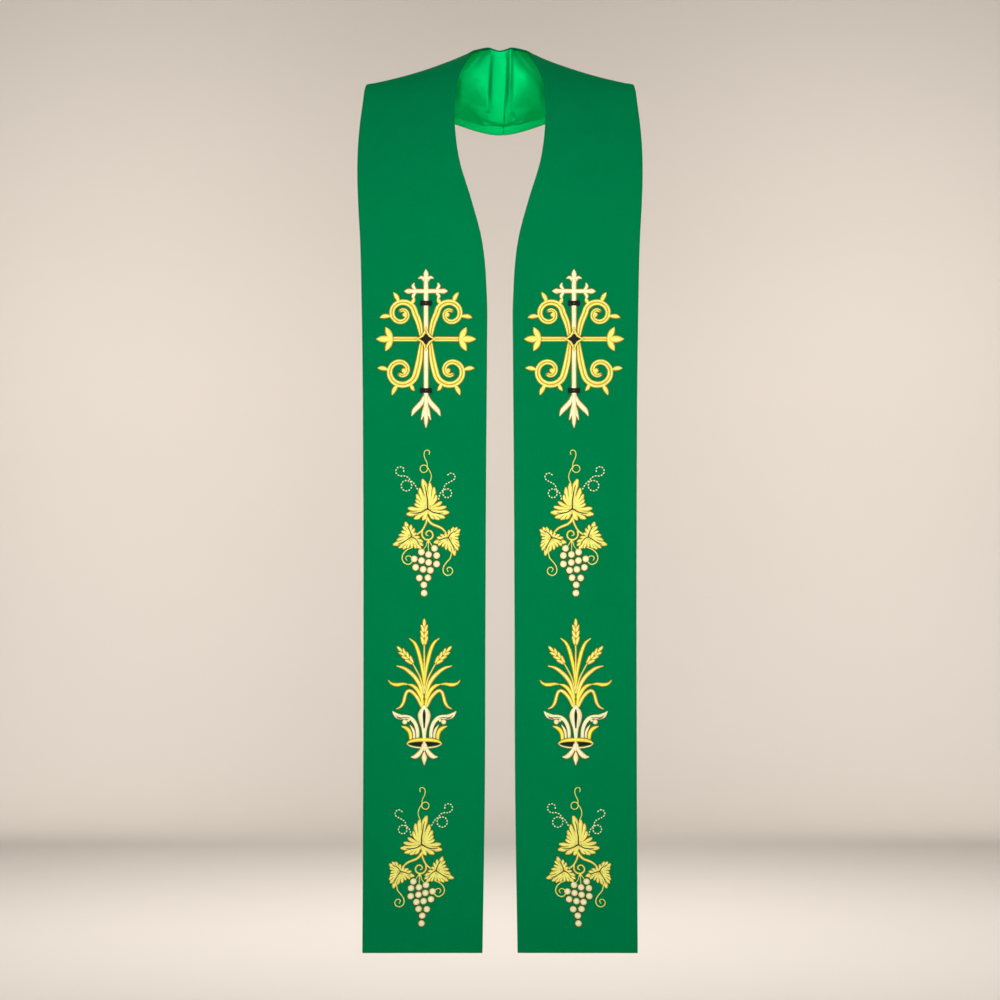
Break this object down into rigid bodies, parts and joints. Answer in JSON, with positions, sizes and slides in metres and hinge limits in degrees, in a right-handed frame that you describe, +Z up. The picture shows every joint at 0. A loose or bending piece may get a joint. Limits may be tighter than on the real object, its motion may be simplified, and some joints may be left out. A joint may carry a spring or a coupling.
{
  "type": "clerical stole",
  "caption": "Worn clerical stole: long bands of green cloth, satin lined, seamed behind the neck and hanging down the front, with raised gold cross, vine and wheat embroidery.",
  "frame": {"origin": "the middle of the neck opening, level with the cloth beside the neck, where the wearer's neck and shoulders hold the stole", "axes": "+X to the wearer's left, -Y to the wearer's front, +Z up; the front bands hang straight down in one upright plane"},
  "size_m": [0.3786, 0.2045, 1.2155],
  "materials": {
    "green_cloth": "matt plain-woven green vestment cloth, lightly pressed",
    "green_satin": "bright green satin lining with a soft gloss",
    "gold_thread": "satin-stitched gold embroidery thread with a silky sheen and brown outlines",
    "cream_thread": "satin-stitched cream embroidery thread with a silky sheen",
    "dark_thread": "black and dark brown embroidery thread"
  },
  "bodies": {
    "root": {"cross_left": "gold_thread", "cross_right": "gold_thread", "face_left": "green_cloth", "face_right": "green_cloth", "lining_left": "green_satin", "lining_right": "green_satin", "lower_vine_left": "gold_thread", "lower_vine_right": "gold_thread", "upper_vine_left": "gold_thread", "upper_vine_right": "gold_thread", "wheat_left": "gold_thread", "wheat_right": "gold_thread"}
  },
  "joints": []
}
